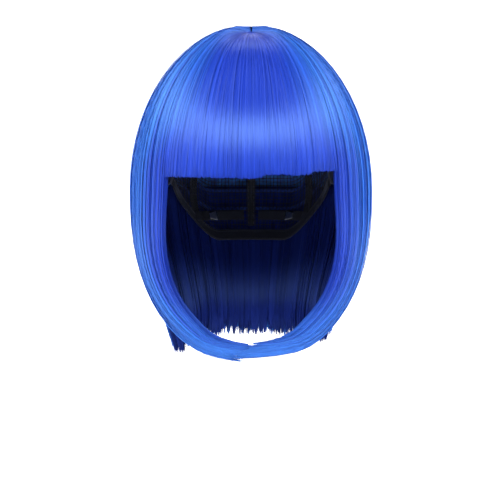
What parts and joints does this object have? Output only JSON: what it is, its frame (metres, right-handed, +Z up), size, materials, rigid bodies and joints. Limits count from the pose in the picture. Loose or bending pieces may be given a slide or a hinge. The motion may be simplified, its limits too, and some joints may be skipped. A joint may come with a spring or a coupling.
{
  "type": "costume wig",
  "caption": "Bright blue full-fringed bob wig of synthetic fibre on a wefted net cap, with side locks that sweep under the chin and an adjustable nape.",
  "frame": {"origin": "centre of the wearer's head at the height of the tops of the ears", "axes": "+Z up, the wearer faces -Y, +X is the side on the right when the wig is seen from the front"},
  "size_m": [0.203, 0.2236, 0.278],
  "materials": {
    "hair": "glossy synthetic fibre",
    "inner_hair": "synthetic fibre in shade",
    "cap_net": "stretch net",
    "cap_band": "smooth tricot",
    "velvet": "short-pile velvet",
    "elastic": "woven elastic",
    "weft_tape": "sewn weft tape",
    "skin_patch": "matte thatched patch",
    "label": "woven satin label, blank",
    "hook_metal": "black coated wire",
    "stay_metal": "bendable strip"
  },
  "bodies": {
    "cap": {"crown_net": "cap_net", "skin_top": "skin_patch", "forehead_band": "cap_band", "perimeter_band_left": "elastic", "perimeter_band_right": "elastic", "nape_band": "velvet", "ribbon_centre": "elastic", "ribbon_left_1": "elastic", "ribbon_left_2": "elastic", "ribbon_right_1": "elastic", "ribbon_right_2": "elastic", "weft_track_1": "weft_tape", "weft_track_2": "weft_tape", "weft_track_3": "weft_tape", "weft_track_4": "weft_tape", "weft_track_5": "weft_tape", "weft_track_6": "weft_tape", "weft_track_7": "weft_tape", "weft_track_8": "weft_tape", "front_track_1": "weft_tape", "front_track_2": "weft_tape", "front_track_3": "weft_tape", "loop_tape_left": "elastic", "loop_tape_right": "elastic", "elastic_strap_left": "elastic", "elastic_strap_right": "elastic", "size_label": "label", "inner_hair_left": "inner_hair", "inner_hair_right": "inner_hair", "nape_hair": "inner_hair", "back_hair_left": "hair", "back_hair_right": "hair"},
    "fringe": {"fringe": "hair"},
    "side_lock_left": {"side_lock_left": "hair"},
    "side_lock_right": {"side_lock_right": "hair"},
    "hook_left": {"strap_hook_left": "hook_metal"},
    "hook_right": {"strap_hook_right": "hook_metal"},
    "ear_tab_left": {"ear_tab_left": "velvet", "ear_stay_left": "stay_metal"},
    "ear_tab_right": {"ear_tab_right": "velvet", "ear_stay_right": "stay_metal"}
  },
  "joints": [
    {"name": "fringe_lift", "type": "hinge", "parent": "cap", "child": "fringe", "pos_m": [0, -0.012, 0.112], "axis": [-1, 0, 0], "range_deg": [0, 15]},
    {"name": "side_lock_left_swing", "type": "hinge", "parent": "cap", "child": "side_lock_left", "pos_m": [-0.01, -0.012, 0.11], "axis": [0, 1, 0], "range_deg": [0, 12]},
    {"name": "side_lock_right_swing", "type": "hinge", "parent": "cap", "child": "side_lock_right", "pos_m": [0.01, -0.012, 0.11], "axis": [0, -1, 0], "range_deg": [0, 12]},
    {"name": "hook_left_adjust", "type": "hinge", "parent": "cap", "child": "hook_left", "pos_m": [0, 0.0249, -0.045], "axis": [0, 0, 1], "range_deg": [-10, 10], "deforming": ["elastic_strap_left"]},
    {"name": "hook_right_adjust", "type": "hinge", "parent": "cap", "child": "hook_right", "pos_m": [0, 0.0249, -0.045], "axis": [0, 0, -1], "range_deg": [-10, 10], "deforming": ["elastic_strap_right"]},
    {"name": "ear_tab_left_fold", "type": "hinge", "parent": "cap", "child": "ear_tab_left", "pos_m": [-0.06838, -0.03926, 0.00584], "axis": [0.3527, -0.9062, 0.2331], "range_deg": [0, 18]},
    {"name": "ear_tab_right_fold", "type": "hinge", "parent": "cap", "child": "ear_tab_right", "pos_m": [0.06838, -0.03926, 0.00584], "axis": [0.3527, 0.9062, -0.2331], "range_deg": [0, 18]}
  ]
}
